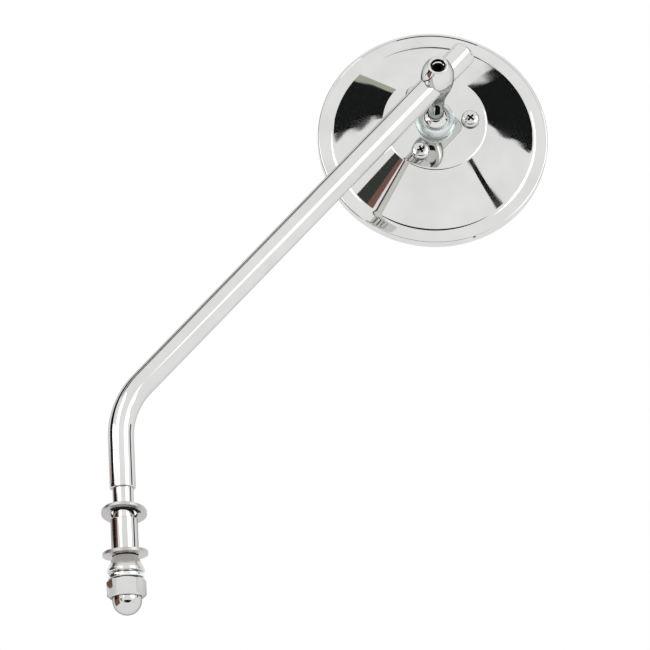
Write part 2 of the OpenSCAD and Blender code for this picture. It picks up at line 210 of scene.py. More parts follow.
def axes_matrix(origin, x_axis, z_axis):
    """The matrix of a frame with this origin, x axis and z axis."""
    y_axis = z_axis.cross(x_axis)
    turn = Matrix((x_axis, y_axis, z_axis)).transposed().to_4x4()
    return Matrix.Translation(origin) @ turn


def aimed(spot, way):
    """The matrix of a frame at this spot whose z axis points this way."""
    return Matrix.Translation(spot) @ Vector(way).to_track_quat("Z", "Y").to_matrix().to_4x4()


def post_matrix():
    """The post's frame: origin on the rod's axis, z up the post, x along the arm."""
    crossing = BALL_CENTRE + POST_AXIS * head_sizes().ball_drop * MM
    return axes_matrix(crossing, ARM_AXIS, POST_AXIS)


def head_matrix():
    """The head's frame: origin at the ball's centre, z out of the head's back."""
    tilt = Matrix.Rotation(head_sizes().head_tilt, 3, TILT_AXIS)
    return axes_matrix(BALL_CENTRE, TILT_AXIS, tilt @ POST_AXIS)


def bend_reach():
    """Distance from the bend's corner to its end."""
    return rod_sizes().bend_r * math.tan(BEND_ANGLE / 2)


def arm_matrix():
    """The arm's frame: origin at the bend's upper end, z along the arm."""
    size = rod_sizes()
    corner = Vector((0, 0, (size.foot_len + bend_reach()) * MM))
    x_axis = Vector((math.cos(BEND_ANGLE), 0, -math.sin(BEND_ANGLE)))
    return axes_matrix(corner + ARM_AXIS * bend_reach() * MM, x_axis, ARM_AXIS)


# Outlines, as lists of (radius, height) in millimetres


def arc(centre_r, centre_z, radius, start, end, steps):
    """Points on an arc, with its angles in degrees."""
    points = []
    for i in range(steps + 1):
        a = math.radians(start + (end - start) * i / steps)
        points.append((centre_r + radius * math.cos(a), centre_z + radius * math.sin(a)))
    return points


def bezier(p0, p1, p2, p3, steps):
    """Points on a cubic curve, without its first point."""
    points = []
    for i in range(1, steps + 1):
        t = i / steps
        s = 1 - t
        weights = (s**3, 3 * s * s * t, 3 * s * t * t, t**3)
        pairs = list(zip(weights, (p0, p1, p2, p3)))
        points.append(tuple(sum(w * p[k] for w, p in pairs) for k in (0, 1)))
    return points


def supported(points, reach=0.12, step=2.0):
    """The outline, with extra points that keep its long straights true when shaded smooth."""
    out = [points[0]]
    for (r0, z0), (r1, z1) in zip(points, points[1:]):
        length = math.hypot(r1 - r0, z1 - z0)
        if length > 4 * reach:
            parts = max(1, round(length / step))
            ends = {reach / length, 1 - reach / length}
            marks = sorted(ends | {i / parts for i in range(1, parts)})
            out += [(r0 + (r1 - r0) * t, z0 + (z1 - z0) * t) for t in marks]
        out.append((r1, z1))
    return out


# Modelling with Blender's own tools


def deselect():
    """Leaves edit mode and selects nothing."""
    if bpy.context.object and bpy.context.object.mode != "OBJECT":
        bpy.ops.object.mode_set(mode="OBJECT")
    bpy.ops.object.select_all(action="DESELECT")


def pick(*objects):
    """Selects these objects alone, with the first one active."""
    deselect()
    for obj in objects:
        obj.select_set(True)
    bpy.context.view_layer.objects.active = objects[0]


def edit():
    """Enters edit mode with everything selected."""
    bpy.ops.object.mode_set(mode="EDIT")
    bpy.ops.mesh.select_all(action="SELECT")


def leave_edit():
    bpy.ops.object.mode_set(mode="OBJECT")


def rename(piece, name):
    piece.name = name
    piece.data.name = name


def copy_of(source, name):
    """A copy of an object, with its own mesh."""
    piece = source.copy()
    piece.data = source.data.copy()
    bpy.context.scene.collection.objects.link(piece)
    rename(piece, name)
    return piece


def trace(name, points):
    """Draws an open line through points, one vertex at a time, and stays in edit mode."""
    deselect()
    bpy.ops.mesh.primitive_plane_add(size=MM)
    piece = bpy.context.object
    rename(piece, name)
    edit()
    bpy.ops.mesh.merge(type="CENTER")
    bpy.ops.transform.translate(value=points[0])
    for before, after in zip(points, points[1:]):
        step = [b - a for a, b in zip(before, after)]
        bpy.ops.mesh.extrude_vertices_move(TRANSFORM_OT_translate={"value": step})
    return piece


def tidy_mesh():
    """Merges doubles, then turns the faces outwards, and stays in edit mode."""
    edit()
    bpy.ops.mesh.remove_doubles(threshold=0.002 * MM)
    bpy.ops.mesh.normals_make_consistent(inside=False)


def lathe(name, outline, steps=96, closed=False, tidied=True):
    """Spins an outline of (radius, height) points in millimetres about the z axis."""
    points = [(r * MM, 0, z * MM) for r, z in outline]
    if closed:
        points.append(points[0])
    piece = trace(name, points)
    edit()
    bpy.ops.mesh.spin(steps=steps, angle=math.tau, center=(0, 0, 0), axis=(0, 0, 1))
    if tidied:
        tidy_mesh()
    leave_edit()
    return piece


def cut(piece, tool, operation="DIFFERENCE"):
    """Cuts a piece with a tool, which is used up."""
    pick(piece)
    change = piece.modifiers.new("cut", "BOOLEAN")
    change.operation = operation
    change.solver = "EXACT"
    change.object = tool
    bpy.ops.object.modifier_apply(modifier=change.name)
    bpy.data.objects.remove(tool)


def soften(piece, width, angle):
    """Rounds a piece's edges that are sharper than an angle."""
    pick(piece)
    change = piece.modifiers.new("soften", "BEVEL")
    change.width = width * MM
    change.segments = 3
    change.limit_method = "ANGLE"
    change.angle_limit = math.radians(angle)
    bpy.ops.object.modifier_apply(modifier=change.name)


def place(piece, matrix):
    """Puts a piece in place and moves the place into its mesh."""
    pick(piece)
    piece.matrix_world = matrix @ piece.matrix_world
    bpy.ops.object.transform_apply(location=True, rotation=True, scale=True)


def join(name, *pieces):
    """Joins pieces into one mesh."""
    pick(*pieces)
    bpy.ops.object.join()
    piece = bpy.context.object
    rename(piece, name)
    return piece


def finish_piece(piece, finish_name, body, slot, *nodes, angle=32.0):
    """Shades a piece, gives it its finish and hands it to the frame."""
    pick(piece)
    bpy.ops.object.shade_smooth_by_angle(angle=math.radians(angle))
    piece.data.materials.clear()
    piece.data.materials.append(finish(finish_name))
    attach(piece, body)
    if nodes:
        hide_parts(*nodes)
    deselect()
    return piece


def second_finish(piece, finish_name, faces):
    """Gives these faces of a piece, by index, a second finish."""
    piece.data.materials.append(finish(finish_name))
    for face in faces:
        piece.data.polygons[face].material_index = 1


# Finishes

# A mix node's sockets for colours have the same names as its sockets for numbers
MIX_FACTOR, MIX_A, MIX_B, MIX_RESULT = 0, 6, 7, 2
# A wave texture goes through this many radians in one unit of its vector
WAVE_RATE = 20


def feed(node, values):
    """Sets a node's inputs and settings. A value that is a socket is linked."""
    for key, value in values.items():
        if isinstance(value, bpy.types.NodeSocket):
            node.id_data.links.new(value, node.inputs[key])
        elif isinstance(key, int) or key in node.inputs:
            node.inputs[key].default_value = value
        else:
            setattr(node, key, value)
    return node


def add_node(tree, kind, values=None):
    """Adds a shader node of this kind, with its inputs and settings."""
    return feed(tree.nodes.new("ShaderNode" + kind), values or {})


def new_finish(name, maker, *values):
    """A new material whose shader takes the values that its maker gives."""
    material = bpy.data.materials.new(name)
    material.use_nodes = True
    tree = material.node_tree
    shader = next(node for node in tree.nodes if node.type == "BSDF_PRINCIPLED")
    feed(shader, maker(tree, *values))
    return material


def coloured(rgb, factor=1.0):
    """A colour as a socket takes it, darkened by a factor."""
    return (rgb[0] * factor, rgb[1] * factor, rgb[2] * factor, 1.0)


def object_noise(tree, size_mm, detail=3.0, roughness=0.5):
    """Noise on the object's own coordinates whose features are about size_mm across."""
    place_on_object = add_node(tree, "TexCoord").outputs["Object"]
    values = {"Scale": 1 / (size_mm * MM), "Detail": detail, "Roughness": roughness}
    return add_node(tree, "TexNoise", {**values, "Vector": place_on_object})


def spread(tree, noise, low, high, from_low=0.3, from_high=0.7):
    """A noise's middle range, spread from low to high."""
    values = {"From Min": from_low, "From Max": from_high, "To Min": low, "To Max": high}
    node = add_node(tree, "MapRange", {**values, "Value": noise.outputs["Fac"]})
    return node.outputs["Result"]


def bumped(tree, pattern, strength, depth_mm):
    """A surface that rises and falls with a pattern."""
    values = {"Strength": strength, "Distance": depth_mm * MM, "Height": pattern.outputs["Fac"]}
    return add_node(tree, "Bump", values).outputs["Normal"]


def shaded(tree, tone, shade):
    """A colour multiplied by a shade."""
    values = {"data_type": "RGBA", "blend_type": "MULTIPLY"}
    colours = {MIX_FACTOR: 1.0, MIX_A: tone, MIX_B: shade}
    return add_node(tree, "Mix", {**values, **colours}).outputs[MIX_RESULT]


def bright_chrome(tree, ripple, haze, tone_factor, edge):
    """Bright chrome on polished steel: a clear mirror, light and neutral, faintly rippled."""
    tone = coloured(finishes().chrome, tone_factor)
    # Polishing leaves broad soft ripples, some 6 mm long, that bend the reflections slightly
    ripples = object_noise(tree, 6.0, 1.0)
    # A thin film of handling haze lies on it in patches of 16 mm
    film = object_noise(tree, 16.0, 4.0)
    return {
        "Base Color": shaded(tree, tone, spread(tree, film, 1.0, 0.92, 0.35, 0.68)),
        "Roughness": spread(tree, film, haze * 0.6, haze * 1.5, 0.35, 0.7),
        "Normal": bumped(tree, ripples, ripple, 0.05),
        "Metallic": 1.0,
        # Chrome dulls where it is seen almost edge on, which gives rounded parts their contours
        "Specular Tint": coloured(linear(edge)),
    }


def grained_metal(tree, tone, rough, grain_mm, depth_mm, contrast):
    """A metal whose surface is broken by a grain, such as tumbling marks or zinc crystals."""
    grain = object_noise(tree, grain_mm, 5.0, 0.6)
    cloud = object_noise(tree, grain_mm * 9, 3.0)
    colour_of_metal = coloured(getattr(finishes(), tone))
    return {
        "Base Color": shaded(tree, colour_of_metal, spread(tree, cloud, 1.0 - contrast, 1.0)),
        "Roughness": spread(tree, cloud, *rough),
        "Normal": bumped(tree, grain, 0.6, depth_mm),
        "Metallic": 1.0,
    }


def turned_steel(tree, spacing_mm):
    """Steel straight from the lathe: soft rings about its axis, and a sheen along them."""
    rings = add_node(tree, "TexWave", {
        "wave_type": "BANDS",
        "bands_direction": "Z",
        "Scale": math.tau / WAVE_RATE / (spacing_mm * MM),
        "Distortion": 0.6,
        "Detail": 2.0,
        "Detail Scale": 1.5,
        "Vector": add_node(tree, "TexCoord").outputs["Object"],
    })
    return {
        "Base Color": coloured(finishes().turned),
        "Roughness": spread(tree, object_noise(tree, 4.0, 3.0), 0.14, 0.24),
        "Normal": bumped(tree, rings, 0.35, 0.02),
        "Metallic": 1.0,
        "Anisotropic": 0.5,
    }


def dull_finish(tree, tone, roughness, grain_mm, depth_mm, specular):
    """A non-metal with a fine grain, such as rubber, foam or nylon."""
    grain = object_noise(tree, grain_mm, 4.0)
    return {
        "Base Color": coloured(getattr(finishes(), tone)),
        "Roughness": spread(tree, grain, roughness * 0.9, min(1.0, roughness * 1.1)),
        "Normal": bumped(tree, grain, 0.5, depth_mm),
        "Specular IOR Level": specular,
    }


def silvered_glass(tree):
    """Float glass with silvering behind it: a clean mirror under a clear coat, faintly green."""
    dust = object_noise(tree, 14.0, 4.0)
    return {
        "Base Color": coloured(finishes().silver),
        "Roughness": spread(tree, dust, 0.004, 0.02, 0.45, 0.8),
        "Metallic": 1.0,
        "Coat Weight": 0.4,
        "Coat Roughness": 0.01,
        "Coat IOR": 1.52,
    }


def matt_card(tree, code, strength=0.0):
    """A plain matt card, or one that glows."""
    tone = coloured(linear(code))
    return {
        "Base Color": tone,
        "Roughness": 1.0,
        "Specular IOR Level": 0.0,
        "Emission Color": tone,
        "Emission Strength": strength,
    }


def floor_paper(tree):
    """Pale matt paper with a fine grain."""
    return {
        "Base Color": coloured(linear("#F2F2F1")),
        "Roughness": 0.9,
        "Specular IOR Level": 0.1,
        "Normal": bumped(tree, object_noise(tree, 3.0, 4.0), 0.1, 0.1),
        # The light that the white tent would scatter onto the paper
        "Emission Color": coloured(linear("#FFFFFF")),
        "Emission Strength": 0.31,
    }


# Each finish of the part: the function that makes it, then that function's values in order
RECIPES = {
    # The spun shell and the rolled rim
    "bright_chrome_plate": (bright_chrome, 0.02, 0.035, 1.0, "#F2F2F2"),
    # The rod, smoother than the spun parts
    "bright_chrome_on_drawn_bar": (bright_chrome, 0.006, 0.03, 1.0, "#CFCFCF"),
    # The turned post, with darker contours
    "bright_chrome_on_turned_post": (bright_chrome, 0.02, 0.035, 1.0, "#9B9C9D"),
    # Sleeve, nut and screws: plated in bulk, so hazier
    "bright_chrome_on_hardware": (bright_chrome, 0.03, 0.06, 0.93, "#9B9C9D"),
    # The ball's cup and the hidden clamp plate
    "blue_white_zinc_plate": (grained_metal, "zinc", (0.34, 0.46), 0.8, 0.006, 0.1),
    # The split lock washer
    "bright_zinc_plate": (grained_metal, "bright_zinc", (0.1, 0.18), 0.6, 0.003, 0.1),
    # The two flat washers, tumbled until satin
    "tumbled_washer_steel": (grained_metal, "washer", (0.3, 0.42), 0.5, 0.012, 0.16),
    # The cone washer, with the rings that its cutter left, 1.57 mm apart
    "turned_cone_steel": (turned_steel, 1.5708),
    # The set screw
    "black_oxide_screw": (grained_metal, "black_oxide", (0.35, 0.5), 0.4, 0.01, 0.1),
    # Painted shade on the walls of the washers' holes, under the upper washer and in the screws'
    # recesses
    "dark_punched_wall": (grained_metal, "black_oxide", (0.4, 0.6), 0.3, 0.02, 0.1),
    # The liner round the ball
    "natural_nylon": (dull_finish, "nylon", 0.45, 1.0, 0.01, 0.4),
    # The seal between glass and shell
    "black_seal_rubber": (dull_finish, "rubber", 0.7, 0.6, 0.02, 0.4),
    # The pad behind the glass
    "foam_sheet": (dull_finish, "foam", 0.9, 1.2, 0.15, 0.2),
    # The mirror itself
    "silvered_glass": (silvered_glass,),
}


def finish(name):
    """The finish with this name, made when it is first asked for."""
    return bpy.data.materials.get(name) or new_finish(name, *RECIPES[name])


# The pieces


class MIRROR_OT_rod(bpy.types.Operator):
    """Builds the bent rod with its shoulder, stud and rounded tip"""

    bl_idname = "mirror.build_rod"
    bl_label = "Rod"

    def execute(self, context):
        size = rod_sizes()
        rod_r = size.rod_d / 2
        shank_r = size.shank_d / 2
        thread_r = size.thread_d / 2
        edge = size.shoulder_round
        chamfer = 1.0
        outline = [
            (0, size.stud_end), (thread_r - chamfer, size.stud_end),
            (thread_r, size.stud_end + chamfer),
            (thread_r, size.thread_top - (thread_r - shank_r)),
            (shank_r, size.thread_top), (shank_r, 0), (rod_r - edge, 0),
            *arc(rod_r - edge, edge, edge, -90, 0, 8)[1:],
            (rod_r, size.foot_len),
        ]
        foot = lathe("foot", supported(outline, step=3.0), tidied=False)
        bend = self.bend(size, rod_r)
        tip_r = rod_r - size.tip_round
        outline = [
            (rod_r, 0),
            *arc(tip_r, size.arm_len - size.tip_round, size.tip_round, 0, 90, 14),
            (0, size.arm_len),
        ]
        arm = lathe("arm", supported(outline, step=6.0), tidied=False)
        place(arm, arm_matrix())
        rod = join("stem_rod_chrome", foot, bend, arm)
        tidy_mesh()
        leave_edit()
        finish_piece(rod, "bright_chrome_on_drawn_bar", "stem", "chrome_rod", "stem_rod")
        return {"FINISHED"}

    def bend(self, size, rod_r):
        """The bend: the rod's circle spun about the bend's centre."""
        deselect()
        height = size.foot_len * MM
        bpy.ops.mesh.primitive_circle_add(vertices=96, radius=rod_r * MM)
        bend = bpy.context.object
        place(bend, Matrix.Translation((0, 0, height)))
        edit()
        centre = (size.bend_r * MM, 0, height)
        bpy.ops.mesh.spin(steps=40, angle=BEND_ANGLE, center=centre, axis=(0, -1, 0))
        leave_edit()
        return bend


def ring_outline(outer_r, inner_r, bottom, top, edge=0.1):
    """A flat ring with slightly rounded edges, as a closed outline."""
    outline = [
        (inner_r, bottom + edge), (inner_r + edge, bottom),
        *arc(outer_r - edge, bottom + edge, edge, -90, 0, 4),
        *arc(outer_r - edge, top - edge, edge, 0, 90, 4),
        (inner_r + edge, top), (inner_r, top - edge),
    ]
    return supported(outline + outline[:1], reach=0.05, step=1.0)[:-1]


class MIRROR_OT_washers(bpy.types.Operator):
    """Builds the two flat washers, the spacer sleeve and the cone washer"""

    bl_idname = "mirror.build_washers"
    bl_label = "Washers and sleeve"

    def execute(self, context):
        size = stack_sizes()
        half = size.washer_t / 2
        outline = ring_outline(size.washer_d / 2, size.washer_hole / 2, -half, half, 0.18)
        turn = Matrix.Rotation(size.lean_azimuth, 4, "Z")
        shift = Matrix.Translation((-size.upper_shift * MM, 0, -size.upper_drop * MM))
        upper = turn @ shift @ Matrix.Rotation(-size.upper_lean, 4, "Y")
        height = Matrix.Translation((0, 0, size.lower_z * MM))
        lower = height @ Matrix.Rotation(-size.lower_lean, 4, "Y")
        # Only the upper washer's underside gets painted shade round its hole, 1.7 mm wide
        for node, matrix, shade_reach in (("upper_washer", upper, 1.7), ("lower_washer", lower, 0.0)):
            washer = lathe(f"{node}_satin", outline, closed=True)
            place(washer, matrix)
            finish_piece(washer, "tumbled_washer_steel", "stem", "washer_steel", node)
            self.paint_bore_shade(size, washer, shade_reach)
        self.sleeve(size)
        self.cone(size)
        return {"FINISHED"}

    def paint_bore_shade(self, size, washer, shade_reach):
        """Paints shade on the wall of a washer's hole, and on the underside round it on the camera's
        side.
        """
        reach = (size.washer_hole / 2 + 0.25) * MM
        middle = sum((Vector(corner) for corner in washer.bound_box), Vector()) / 8
        faces = []
        for face in washer.data.polygons:
            offset = face.center - middle
            down = face.normal.z
            wall = offset.length < reach * 1.04 and face.normal.dot(offset) < 0 and abs(down) < 0.7
            # The side that faces the camera, where painted shade lies under the washer
            camera_side = offset.y < -0.45 * offset.length
            if wall or (down < -0.7 and camera_side and offset.length < reach + shade_reach * MM):
                faces.append(face.index)
        second_finish(washer, "dark_punched_wall", faces)

    def sleeve(self, size):
        low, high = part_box("spacer_sleeve")
        radii = size.sleeve_d / 2, size.sleeve_bore / 2
        outline = ring_outline(*radii, low.z / MM, high.z / MM, 0.2)
        sleeve = lathe("spacer_sleeve_chrome", outline, closed=True)
        finish_piece(sleeve, "bright_chrome_on_hardware", "stem", "chrome_sleeve", "spacer_sleeve")

    def cone(self, size):
        low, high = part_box("cone_washer")
        bottom, top = low.z / MM, high.z / MM
        bore_r, rim_r = size.cone_bore / 2, size.cone_rim_d / 2
        chamfer = 0.3
        outline = [(bore_r, bottom), (rim_r - chamfer, bottom), (rim_r, bottom + chamfer)]
        outline += [(rim_r, bottom + size.cone_rim_h), (size.cone_neck_d / 2, top), (bore_r, top)]
        cone = lathe("cone_washer_turned", supported(outline, step=1.0), closed=True)
        finish_piece(cone, "turned_cone_steel", "stem", "turned_steel", "cone_washer")


class MIRROR_OT_nut(bpy.types.Operator):
    """Builds the split lock washer and the acorn nut"""

    bl_idname = "mirror.build_nut"
    bl_label = "Nut"

    def execute(self, context):
        self.lock_washer()
        self.acorn_nut(stack_sizes())
        return {"FINISHED"}

    def lock_washer(self):
        """The split ring: the solid's own helix, merged and with rounded edges."""
        source = frame["nodes"]["lock_washer"]
        ring = copy_of(source, "lock_washer_zinc")
        ring.parent = None
        for key in list(ring.keys()):
            del ring[key]
        pick(ring)
        tidy_mesh()
        bpy.ops.mesh.dissolve_limited(angle_limit=math.radians(0.4))
        leave_edit()
        soften(ring, 0.15, angle=40.0)
        finish_piece(ring, "bright_zinc_plate", "stem", "zinc", "lock_washer", angle=40.0)

    def acorn_nut(self, size):
        """A hexagon, chamfered at both ends, with its dome."""
        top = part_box("acorn_nut")[1].z / MM
        bottom = top - size.nut_hex_h
        corner_r = size.nut_af / math.sqrt(3)
        chamfer = corner_r - size.nut_af / 2 + 0.15
        face_r = corner_r - chamfer
        bore_r = rod_sizes().thread_d / 2 + 0.03
        deselect()
        middle = (0, 0, (top + bottom) / 2 * MM)
        bpy.ops.mesh.primitive_cylinder_add(
            vertices=6, radius=corner_r * MM, depth=size.nut_hex_h * MM, location=middle
        )
        nut = bpy.context.object
        place(nut, Matrix.Rotation(size.nut_turn + math.pi / 6, 4, "Z"))
        # What both chamfers and the bore leave of the hexagon, with 1 mm to spare round it
        foot_slope = math.tan(math.radians(40))
        top_slope = math.tan(math.radians(30))
        blank = [
            (bore_r, top + 1), (0.1, top + 1), (0.1, bottom - 1), (face_r, bottom - 1),
            (face_r, bottom), (corner_r, bottom + chamfer * foot_slope),
            (corner_r + 1, bottom + 2), (corner_r + 1, top - 2),
            (corner_r, top - chamfer * top_slope), (face_r, top), (face_r, top + 1),
        ]
        cut(nut, lathe("blank", blank, closed=True), "INTERSECT")
        dome_r = size.dome_d / 2
        foot = bottom - size.dome_neck
        outline = [(0, foot - dome_r)] + arc(0, foot, dome_r, -90, 0, 40)[1:]
        outline += [(dome_r, bottom + 0.5), (0, bottom + 0.5)]
        dome = lathe("dome", supported(outline))
        soften(nut, 0.14, angle=15.0)
        chrome = "bright_chrome_on_hardware"
        finish_piece(nut, chrome, "stem", "chrome_nut", "acorn_nut", angle=25.0)
        nut.name = "acorn_nut_hexagon"
        finish_piece(dome, chrome, "stem", "chrome_nut")
        dome.name = "acorn_nut_dome"


class MIRROR_OT_post(bpy.types.Operator):
    """Builds the bored post with its neck and ball"""

    bl_idname = "mirror.build_post"
    bl_label = "Post"

    def execute(self, context):
        size = head_sizes()
        top = size.post_top
        top_r = size.post_top_d / 2
        wide_r = size.post_d / 2
        neck_r = size.neck_d / 2
        ball_r = size.ball_d / 2
        hole_r = size.screw_hole_d / 2
        hole_floor = 3.0
        edge = 0.35
        outline = [
            (0, hole_floor), (hole_r - 0.5, hole_floor),
            *self.thread(hole_r, hole_floor, top - 0.5),
            (hole_r, top - edge), (hole_r + edge, top), (top_r - edge, top),
            *arc(top_r - edge, top - edge, edge, 90, 20, 5),
        ]
        # The belly swells from the ring at the top and draws in to the neck
        belly = (wide_r, 2.5)
        neck = (neck_r, -0.52 * size.ball_drop)
        outline += bezier(outline[-1], (top_r + 1.6, top - 3.2), (wide_r, 8), belly, 28)
        outline += bezier(belly, (wide_r, -4.5), (neck_r, neck[1] + 7), neck, 40)
        ball_top = math.sqrt(ball_r**2 - neck_r**2)
        outline += [(neck_r, -size.ball_drop + ball_top + 0.4)]
        start = math.degrees(math.atan2(ball_top, neck_r))
        outline += arc(0, -size.ball_drop, ball_r, start, -90, 48)
        post = lathe("swivel_post_chrome", supported(outline, step=1.0), steps=128)
        rod_bore = (rod_sizes().rod_d / 2 + 0.05) * MM
        deselect()
        bpy.ops.mesh.primitive_cylinder_add(
            vertices=128, radius=rod_bore, depth=40 * MM, rotation=(0, math.pi / 2, 0)
        )
        cut(post, bpy.context.object)
        place(post, post_matrix())
        chrome = "bright_chrome_on_turned_post"
        finish_piece(post, chrome, "post", "chrome_post", "swivel_post", angle=40.0)
        return {"FINISHED"}

    def thread(self, hole_r, bottom, top):
        """Ridges 1.27 mm apart, as a 1/4 in set screw's thread has."""
        pitch = 1.27
        crest_r = hole_r - 0.45
        points = []
        z = bottom + 0.1
        while z + pitch < top:
            points += [(hole_r, z), (hole_r, z + pitch * 0.25)]
            points += [(crest_r, z + pitch * 0.55), (crest_r, z + pitch * 0.7)]
            z += pitch
        return points


class MIRROR_OT_head(bpy.types.Operator):
    """Builds the head's shell, socket collar, rim bezel and plate screws"""

    bl_idname = "mirror.build_head"
    bl_label = "Head"

    def execute(self, context):
        size = head_sizes()
        self.shell(size)
        self.socket(size)
        self.bezel(size)
        self.screws(size)
        self.glass(size)
        return {"FINISHED"}

    def shell_path(self, size, depth, hole_r):
        """The shell's section at a depth under its outer face, from the hole to the flange."""
        plateau_z = -size.plateau_drop
        flange_z = plateau_z - size.shell_depth
        plateau_r = size.plateau_d / 2
        foot_r = size.flank_foot_d / 2
        slope = math.degrees(math.atan2(size.shell_depth, foot_r - plateau_r))
        half = math.tan(math.radians(slope / 2))
        outer = size.plateau_round
        inner = size.flank_round
        outline = [(hole_r, plateau_z - depth)]
        edge = (plateau_r - outer * half, plateau_z - outer)
        outline += arc(*edge, outer - depth, 90, 90 - slope, 14)
        foot = (foot_r + inner * half, flange_z + inner)
        outline += arc(*foot, inner + depth, 270 - slope, 270, 18)
        outline += [(size.head_d / 2 - size.bezel_round, flange_z - depth)]
        return supported(outline, step=1.5)

    def shell(self, size):
        hole_r = size.dome_d / 2 + size.hole_gap
        outline = self.shell_path(size, 0, hole_r)
        outline += reversed(self.shell_path(size, size.shell_t, hole_r))
        shell = lathe("back_shell_chrome", outline, steps=256, closed=True)
        place(shell, head_matrix())
        finish_piece(shell, "bright_chrome_plate", "head", "chrome_shell", "back_shell")

    def socket(self, size):
        """The zinc-plated cup whose collar holds the ball."""
        dome_r = size.dome_d / 2
        seat_r = size.seat_d / 2
        plate_r, plate_t = 19.5, 1.2
        mouth = 90 - math.degrees(size.mouth_angle)
        plate_z = -size.plateau_drop - size.shell_t
        start = math.asin(plate_z / dome_r)
        outline = [
            (seat_r, plate_z - plate_t), (plate_r, plate_z - plate_t), (plate_r, plate_z),
            (dome_r * math.cos(start), plate_z),
            *arc(0, 0, dome_r, math.degrees(start), mouth + 2, 28)[1:],
            *arc(0, 0, dome_r - 0.25, mouth + 0.3, mouth, 1),
            *arc(0, 0, seat_r, mouth, 0, 20),
        ]
        cup = lathe("socket_cup_zinc", supported(outline, step=1.0), steps=128, closed=True)
        place(cup, head_matrix())
        finish_piece(cup, "blue_white_zinc_plate", "head", "zinc_cup", "socket_plate")

    def bezel(self, size):
        """The rolled rim, from its lip on the flange round to its lip over the glass."""
        top = -size.plateau_drop - size.shell_depth + size.bezel_t
        bottom = top - size.bezel_h
        head_r = size.head_d / 2
        back_r, front_r = head_r - size.back_lip, head_r - size.front_lip
        edge = size.bezel_round
        inner = edge - size.bezel_t
        edge_r = head_r - edge
        outline = [
            (back_r, top),
            *arc(edge_r, top - edge, edge, 90, 0, 10),
            *arc(edge_r, bottom + edge, edge, 0, -90, 10),
            (front_r, bottom), (front_r, bottom + size.bezel_t),
            *arc(edge_r, bottom + edge, inner, -90, 0, 4),
            *arc(edge_r, top - edge, inner, 0, 90, 4),
            (back_r, top - size.bezel_t),
        ]
        bezel = lathe("rim_bezel_chrome", supported(outline, step=1.0), steps=256, closed=True)
        cut(bezel, self.drill(size, head_r - 1.5, top - 1.4))
        place(bezel, head_matrix())
        finish_piece(bezel, "bright_chrome_plate", "head", "chrome_bezel", "rim_bezel")

    def drill(self, size, radius, height):
        """The drain hole's drill, which leans out through the bezel's edge."""
        x, y = math.cos(size.drain_angle), math.sin(size.drain_angle)
        spot = Vector((radius * x, radius * y, height)) * MM
        deselect()
        drill_r = size.drain_d / 2 * MM
        bpy.ops.mesh.primitive_cylinder_add(vertices=24, radius=drill_r, depth=4 * MM)
        drill = bpy.context.object
        drill.matrix_world = aimed(spot, (x * 0.87, y * 0.87, 0.5))
        return drill

    def screws(self, size):
        """One pan-head screw with a cross recess, then its copies round the circle."""
        head_r = size.screw_head_d / 2
        head_h = size.screw_head_h
        shank_r = size.screw_d / 2
        edge, side = 0.15, 0.7
        outline = [(0, -size.screw_len), (shank_r, -size.screw_len), (shank_r, 0)]
        outline += [(head_r - edge, 0), (head_r, edge), (head_r, side)]
        shoulder = (head_r, head_h - 0.5)
        outline += bezier((head_r, side), shoulder, (head_r - 1.3, head_h), (0, head_h), 18)
        pattern = lathe("plate_screw", supported(outline, step=1.0), steps=64)
        for turn in (0.0, math.pi / 2):
            cut(pattern, self.recess_wing(head_h, turn))
        walls = self.recess_faces(pattern, head_h)
        for index in range(3):
            node = f"plate_screw_{index + 1}"
            screw = copy_of(pattern, f"{node}_chrome")
            angle = size.screw_angle + index * math.tau / 3
            x, y = size.screw_circle_r * math.cos(angle), size.screw_circle_r * math.sin(angle)
            spot = Matrix.Translation(Vector((x, y, -size.plateau_drop)) * MM)
            turn = Matrix.Rotation(angle + (index + 1) * math.pi / 4, 4, "Z")
            place(screw, head_matrix() @ spot @ turn)
            chrome = "bright_chrome_on_hardware"
            finish_piece(screw, chrome, "head", "chrome_screw", node, angle=35.0)
            # The cross recess gets painted shade: a dark finish where shade falls in it
            second_finish(screw, "dark_punched_wall", walls)
        bpy.data.objects.remove(pattern)

    def recess_faces(self, screw, head_h):
        """The faces of the cross recess: inside the head and not on its domed top."""
        faces = []
        for face in screw.data.polygons:
            centre = face.center / MM
            inside = math.hypot(centre.x, centre.y) < 2.4 and 0.2 < centre.z < head_h - 0.12
            if inside and (abs(face.normal.z) < 0.6 or centre.z < head_h - 1.2):
                faces.append(face.index)
        return faces

    def recess_wing(self, head_h, turn):
        """One arm pair of the cross recess, narrower towards its bottom."""
        deselect()
        bpy.ops.mesh.primitive_cube_add(size=MM)
        wing = bpy.context.object
        edit()
        bpy.ops.transform.resize(value=(4.4, 0.95, 2.4))
        bpy.ops.transform.translate(value=(0, 0, (head_h - 0.4) * MM))
        bpy.ops.mesh.select_all(action="DESELECT")
        leave_edit()
        low = min(v.co.z for v in wing.data.vertices)
        for vertex in wing.data.vertices:
            vertex.select = vertex.co.z < low + 0.01 * MM
        bpy.ops.object.mode_set(mode="EDIT")
        bpy.ops.transform.resize(value=(0.45, 0.7, 1.0), center_override=(0, 0, low))
        leave_edit()
        place(wing, Matrix.Rotation(turn, 4, "Z"))
        return wing

    def glass(self, size):
        """The flat glass behind the bezel's front lip."""
        bottom = -size.plateau_drop - size.shell_depth + 2 * size.bezel_t - size.bezel_h
        top = bottom + size.glass_t
        glass_r = size.head_d / 2 - size.bezel_t - 0.3
        chamfer = 0.4
        outline = [(0, bottom), (glass_r - chamfer, bottom), (glass_r, bottom + chamfer)]
        outline += [(glass_r, top), (0, top)]
        glass = lathe("mirror_glass_silvered", supported(outline, step=4.0), steps=192)
        place(glass, head_matrix())
        finish_piece(glass, "silvered_glass", "head", "mirror", "mirror_glass", angle=20.0)


